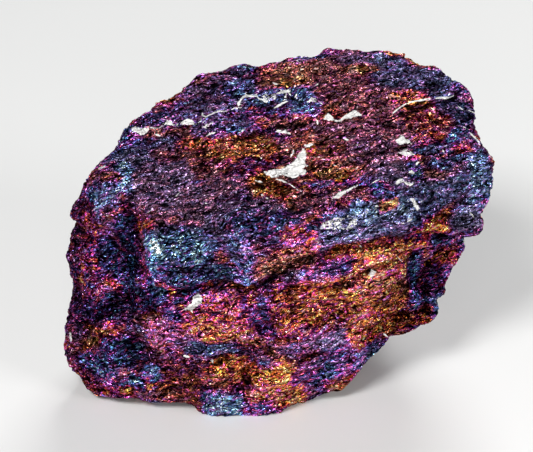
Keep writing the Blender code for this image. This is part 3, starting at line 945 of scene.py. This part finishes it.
def paintZones(places, film):
    loose = places
    for size, reach, shift in tarnishDrift["zoneFray"]:
        loose = loose + cloudAt(places, size, reach, shift)
    # each zone paints its film, its brightness (which holds painted light and shade) and its greyness
    for start, end, reach, level, bright, grey in filmZones.values():
        apart = fromStroke(loose, start, end, tarnishDrift["zoneFlat"])
        inside = 1 - smoothStep(apart / reach, *tarnishDrift["zoneFade"])
        amount = tarnishDrift["zoneStrength"] * inside[:, None]
        film += amount * (np.array((level, bright, grey)) - film)


def markQuartz(piece, places, look):
    # distances in pixels from the patches, the veins and the sprinkled patches that are in sight
    spots = pixelsOf(places)
    gap = fromOutlines(spots, quartzPatches.values())
    sprinkled = fromOutlines(spots, quartzSprinkles)
    side, room = fromVeins(spots)
    near = (gap < look["patchReach"]) | (sprinkled < look["patchReach"]) | (room > -look["veinReach"])
    near = np.flatnonzero(near)
    hidden = near[~inSight(piece, places[near])]
    gap[hidden], sprinkled[hidden], room[hidden] = look["bare"], look["bare"], -look["bare"]
    return gap, side, room, sprinkled


def fleckQuartz(places, sheets, look):
    # flecks of it where the skin faces away from the camera
    facings = np.array([oreTree.find_nearest(Vector(p) * mm)[1] for p in places])
    cloud = cloudAt(sheets / look["fleckStretch"], look["fleckSize"], 1.0, look["fleckShift"])[:, 0]
    turned = facings @ sight > look["fleckFacing"]
    return np.where(turned, (look["fleckLeast"] - cloud) * look["fleckSlope"], look["bare"])


def paintLump(piece):
    places = placesOf(piece)
    sheets = places @ np.array(sheetTurn.to_matrix())
    film = driftFilm(sheets)
    paintZones(places, film)
    gap, side, room, sprinkled = markQuartz(piece, places, quartzLook)
    gap = np.minimum(gap, fleckQuartz(places, sheets, quartzLook))
    for name, kind, field, values in (
        ("filmPaint", "FLOAT_VECTOR", "vector", film),
        ("quartzGaps", "FLOAT_VECTOR", "vector", np.stack([gap, side, room], axis=1)),
        ("sprinkleGap", "FLOAT", "value", sprinkled),
    ):
        layer = piece.data.attributes.new(name, kind, "POINT")
        layer.data.foreach_set(field, values.ravel())


paintLump(lump)
print("film zones and quartz marked")


# Crystal grains: random values for each grain, and a normal that tilts a different way on each.
def makeGrainGroup():
    group, given, result = newTree(
        "crystalGrains",
        "ShaderNodeTree",
        [("Place", "Vector"), ("Tilt", "Float"), ("Normal", "Vector")],
        [("First", "Float"), ("Second", "Float"), ("Third", "Float"), ("Normal", "Vector")],
    )
    grain = cells(group, given["Place"])
    for name, value in zip(("First", "Second", "Third"), parts(group, grain["Color"])):
        group.links.new(value, result[name])
    lean = vectorMaths(group, "SUBTRACT", grain["Color"], (0.5, 0.5, 0.5))
    lean = vectorMaths(group, "SCALE", lean, given["Tilt"])
    tilted = vectorMaths(group, "NORMALIZE", vectorMaths(group, "ADD", given["Normal"], lean))
    group.links.new(tilted, result["Normal"])
    return group


def useGroup(tree, group, **sources):
    return feed(tree, addNode(tree, "ShaderNodeGroup", node_tree=group), sources).outputs


# The tarnish: what a user would change of its colours and grains.
tarnishLook = {  # lengths in mm; ranges, widths and slopes in the clouds' own values
    "filmColours": [  # thickness of the film, and the colour it reflects
        (0.00, (0.86, 0.50, 0.12)),
        (0.10, (0.88, 0.33, 0.05)),
        (0.22, (0.80, 0.17, 0.03)),
        (0.34, (0.70, 0.06, 0.06)),
        (0.45, (0.62, 0.04, 0.28)),
        (0.56, (0.36, 0.07, 0.46)),
        (0.66, (0.16, 0.11, 0.52)),
        (0.76, (0.08, 0.18, 0.56)),
        (0.87, (0.10, 0.36, 0.62)),
        (1.00, (0.62, 0.86, 0.90)),
    ],
    "sheetDrift": (5.0, 1.6),  # size and reach of the clouds that bend the sheets
    "fleckSize": (2.2, 1.6, 0.9),
    "fleckNoise": (3.0, 0.6),  # detail and roughness
    "fleckRange": (0.25, 0.75),
    "fleckSwing": 0.24,  # how far the film's thickness swings
    "grainSize": (1.5, 1.0, 0.55),
    "grainDrift": (1.4, 0.3),
    "grainSwing": 0.15,
    "grainTilt": 0.4,
    "fineSize": (0.48, 0.37, 0.26),
    "fineDrift": (0.9, 0.2),
    "fineSwing": 0.09,
    "fineTilt": 0.65,
    "greySwing": 0.35,  # the share of the swings that is left on grey skin
    # the grains' brightness: their own random tone, with painted glints on the few bright ones
    "litShares": (0.2, 0.8),  # of the coarse and of the fine grains
    "litRange": (0.08, 0.94),
    "litPower": 2.1,  # a higher power makes more of the grains dark
    "darkGrains": 0.005,
    "brightGrains": 3.1,
    "brightest": 3.6,
    "glintWhitening": 0.2,  # painted highlight: how much white the brightest grains show
    "glintRange": (0.78, 0.95),
    "glintColour": (0.9, 0.85, 0.85),
    "brightZones": (1.1, 2.4),  # there the grains come near to one level, by this share
    "brightShare": 0.4,
    "brightLevel": 0.8,
    "greyShare": 0.6,  # and on grey skin, by this share
    "greyLevel": 0.5,
    "greySheen": (0.30, 0.27, 0.33),
    "sheenShare": 0.7,
    "creases": (  # size along and across the sheets, depth, and how dark they are painted (painted shade in each fold)
        ((7.0, 4.0, 1.4), 0.50, 0.05),
        ((3.0, 2.0, 0.8), 0.22, 0.15),
        ((1.6, 1.1, 0.45), 0.08, 0.35),
    ),
    "creaseDrift": (2.2, 0.7),
    "creaseWidth": (0.01, 0.045),
    "creaseRim": 1.08,  # painted light beside a crease
    "creaseSlope": 0.12,
    "lensSize": (3.4, 2.2, 0.6),  # smooth grey lenses in the sheets, and how grey they are
    "lensRange": (0.56, 0.66),
    "lensGrey": 0.5,
    "edgeTint": 0.2,  # how much light the grains give back where they are seen edge on
    "hollowNear": (0.22, 1.4, 0.45),  # depth, and the brightness painted on ridges (painted light) and in hollows (painted shade)
    "hollowFar": (1.4, 1.15, 0.55),
    "roughness": (0.18, 0.44),
}


def attribute(tree, name):
    return addNode(tree, "ShaderNodeAttribute", attribute_type="GEOMETRY", attribute_name=name).outputs


def creaseSkin(tree, waved, look):
    # thin folds of the skin, painted dark along each fold (painted shade) with painted light beside it,
    # which also bend its normal
    shade, height = 1.0, 0.0
    for size, depth, dark in look["creases"]:
        folds = foldsOf(tree, fractal(tree, waved, size, 1.0)[0])
        fold = spread(tree, folds, dark, look["creaseRim"], *look["creaseWidth"])
        shade = maths(tree, "MULTIPLY", shade, fold)
        rise = spread(tree, folds, 0.0, depth * mm, 0.0, look["creaseSlope"])
        height = maths(tree, "ADD", height, rise)
    bump = addNode(tree, "ShaderNodeBump")
    return shade, feed(tree, bump, {"Strength": 1.0, "Distance": 1.0, "Height": height}).outputs[0]


def layGrains(tree, crystals, sheets, normal, look, name):
    place = stretch(tree, wander(tree, sheets, *look[name + "Drift"]), look[name + "Size"])
    return useGroup(tree, crystals, Place=place, Tilt=look[name + "Tilt"], Normal=normal)


def filmColour(tree, level, muted, fleck, grains, fine, look):
    # the film's thickness: painted zones, flecks along the sheets, and a little for each grain
    coarseHue = sway(tree, grains["First"], look["grainSwing"])
    hue = maths(tree, "ADD", coarseHue, sway(tree, fine["First"], look["fineSwing"]))
    hue = maths(tree, "ADD", fleck, hue)
    film = maths(tree, "MULTIPLY_ADD", hue, spread(tree, muted, 1.0, look["greySwing"]), level)
    colours = addNode(tree, "ShaderNodeValToRGB")
    stops = colours.color_ramp.elements
    stops.remove(stops[1])
    for index, (place, colour) in enumerate(look["filmColours"]):
        stop = stops[0] if index == 0 else stops.new(place)
        stop.position = place
        stop.color = (*colour, 1.0)
    return feed(tree, colours, {"Fac": film}).outputs["Color"]


def grainGlintsAndShade(tree, lit, tone, muted, creases, look):
    # most grains dark, a few bright, their own random tone with painted glints on the bright ones, and
    # less of both in bright zones and on grey skin; times the zones' brightness, the painted shade of
    # hollows and creases and the painted light on ridges
    spark = maths(tree, "POWER", spread(tree, lit, 0.0, 1.0, *look["litRange"]), look["litPower"])
    spark = spread(tree, spark, look["darkGrains"], look["brightGrains"])
    calm = spread(tree, tone, 0.0, look["brightShare"], *look["brightZones"])
    spark = blend(tree, calm, spark, look["brightLevel"])
    spark = blend(tree, maths(tree, "MULTIPLY", muted, look["greyShare"]), spark, look["greyLevel"])
    # painted shade in hollows and painted light on ridges, from how far the skin lies below its
    # surroundings
    shades = []
    for name in ("hollowNear", "hollowFar"):
        depth, ridge, hollow = look[name]
        shades.append(spread(tree, attribute(tree, name)["Fac"], ridge, hollow, -depth, depth))
    glow = maths(tree, "MULTIPLY", maths(tree, "MULTIPLY", spark, tone), maths(tree, "MULTIPLY", *shades))
    return maths(tree, "MINIMUM", maths(tree, "MULTIPLY", glow, creases), look["brightest"])


def quartzCover(tree, spot, look):
    # 1 on quartz: clean patches and veins with nibbled edges, and sprinkled specks
    nibble = sway(tree, fractal(tree, spot, look["nibbleSize"])[0], look["nibble"], *look["cloudRange"])
    patch, side, room = parts(tree, attribute(tree, "quartzGaps")["Vector"])
    patch = spread(tree, maths(tree, "ADD", patch, nibble), 1.0, 0.0, -look["edge"], look["edge"])
    vein = maths(tree, "SUBTRACT", room, maths(tree, "ABSOLUTE", side))
    vein = maths(tree, "MULTIPLY_ADD", nibble, look["veinNibble"], vein)
    vein = spread(tree, vein, 0.0, 1.0, -look["edge"], look["edge"])
    specks = fractal(tree, spot, look["speckSize"], 1.0)[0]
    specks = spread(tree, specks, 0.0, 1.0, *look["speckRange"])
    sprinkled = maths(tree, "ADD", attribute(tree, "sprinkleGap")["Fac"], nibble)
    sprinkled = spread(tree, sprinkled, 1.0, 0.0, *look["sprinkleEdge"])
    specks = maths(tree, "MULTIPLY", specks, sprinkled)
    return maths(tree, "MAXIMUM", maths(tree, "MAXIMUM", patch, vein), specks)


def quartzColour(tree, spot, look):
    chalk = fractal(tree, spot, look["chalkSize"])[0]
    chalk = spread(tree, chalk, *look["chalk"], *look["cloudRange"])
    return vectorMaths(tree, "SCALE", look["colour"], chalk)


def makeTarnish(look):
    material = bpy.data.materials.new("tarnishedOre")
    material.use_nodes = True
    tree = material.node_tree
    shader = tree.nodes["Principled BSDF"]
    spot = vectorMaths(tree, "SCALE", addNode(tree, "ShaderNodeTexCoord").outputs["Object"], 1 / mm)
    sheets = wander(tree, inSheets(tree, spot), *look["sheetDrift"])
    waved = wander(tree, sheets, *look["creaseDrift"])
    # creases: painted shade along the folds, and the bump that they give the normal
    creases, normal = creaseSkin(tree, waved, look)
    crystals = makeGrainGroup()
    grains = layGrains(tree, crystals, sheets, normal, look, "grain")
    fine = layGrains(tree, crystals, sheets, grains["Normal"], look, "fine")

    # tone: the zones' brightness, with their painted light and shade
    level, tone, muted = parts(tree, attribute(tree, "filmPaint")["Vector"])
    lenses = parts(tree, fractal(tree, waved, look["lensSize"], 1.0)["Color"])[1]
    lenses = spread(tree, lenses, 0.0, look["lensGrey"], *look["lensRange"])
    muted = spread(tree, maths(tree, "ADD", muted, lenses), 0.0, 1.0)
    fleck = fractal(tree, sheets, look["fleckSize"], *look["fleckNoise"])[0]
    fleck = sway(tree, fleck, look["fleckSwing"], *look["fleckRange"])
    film = filmColour(tree, level, muted, fleck, grains, fine, look)
    grey = maths(tree, "MULTIPLY", muted, look["sheenShare"])
    film = mixColour(tree, grey, film, (*look["greySheen"], 1.0))

    coarseShare, fineShare = look["litShares"]
    lit = maths(tree, "MULTIPLY", fine["Second"], fineShare)
    lit = maths(tree, "MULTIPLY_ADD", grains["Second"], coarseShare, lit)
    # painted highlights: white mixed into the brightest grains
    pale = spread(tree, lit, 0.0, look["glintWhitening"], *look["glintRange"])
    film = mixColour(tree, pale, film, (*look["glintColour"], 1.0))
    # the film's colour times the grains' brightness: painted glints, the zones' painted light and shade,
    # and painted shade in hollows and creases
    tarnish = vectorMaths(tree, "SCALE", film, grainGlintsAndShade(tree, lit, tone, muted, creases, look))

    white = quartzCover(tree, spot, quartzLook)
    feed(tree, shader, {
        "Base Color": mixColour(tree, white, tarnish, quartzColour(tree, spot, quartzLook)),
        "Metallic": maths(tree, "SUBTRACT", 1.0, white),
        "Roughness": spread(tree, fine["Third"], *look["roughness"]),
        "Normal": fine["Normal"],
        "Specular Tint": (look["edgeTint"], look["edgeTint"], look["edgeTint"], 1.0),
    })
    return material


lump.data.materials.append(makeTarnish(tarnishLook))
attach(lump, "root")
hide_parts("peacock_ore")
print("tarnish laid on")


# Floor and light: a plain pale floor and soft studio lamps.
studio = {
    "floorSize": 6.0,
    "floorColour": (0.62, 0.62, 0.61),
    "floorRoughness": 0.6,
    "roomColour": (0.10, 0.105, 0.115),
    "lampTarget": (0, 0, 0.03),
    "lamps": {  # place, width in metres, watts
        "keyLamp": ((-0.45, -0.85, 0.95), 0.40, 18.0),
        "fillLamp": ((0.95, -0.70, 0.55), 0.45, 7.0),
        "lowLamp": ((-0.10, -1.15, 0.28), 0.50, 8.0),
        "backLamp": ((0.20, 0.80, 0.85), 0.50, 8.0),
    },
}


def addFloor():
    bpy.ops.mesh.primitive_plane_add(size=studio["floorSize"], location=(0, 0, 0))
    floor = bpy.context.object
    floor.name = "paleFloor"
    material = bpy.data.materials.new("paleFloor")
    material.use_nodes = True
    shader = material.node_tree.nodes["Principled BSDF"]
    shader.inputs["Base Color"].default_value = (*studio["floorColour"], 1.0)
    shader.inputs["Roughness"].default_value = studio["floorRoughness"]
    floor.data.materials.append(material)


def addLamp(name, place, width, watts):
    bpy.ops.object.light_add(type="AREA", location=place)
    lamp = bpy.context.object
    lamp.name = name
    lamp.data.size = width
    lamp.data.energy = watts
    aim = Vector(studio["lampTarget"]) - lamp.location
    lamp.rotation_euler = aim.to_track_quat("-Z", "Y").to_euler()


def addRoom():
    world = bpy.data.worlds.new("room")
    world.use_nodes = True
    world.node_tree.nodes["Background"].inputs["Color"].default_value = (*studio["roomColour"], 1.0)
    bpy.context.scene.world = world


addFloor()
addRoom()
for lampName, lampValues in studio["lamps"].items():
    addLamp(lampName, *lampValues)
bpy.context.scene.view_settings.view_transform = "Standard"
print("floor and lamps placed")
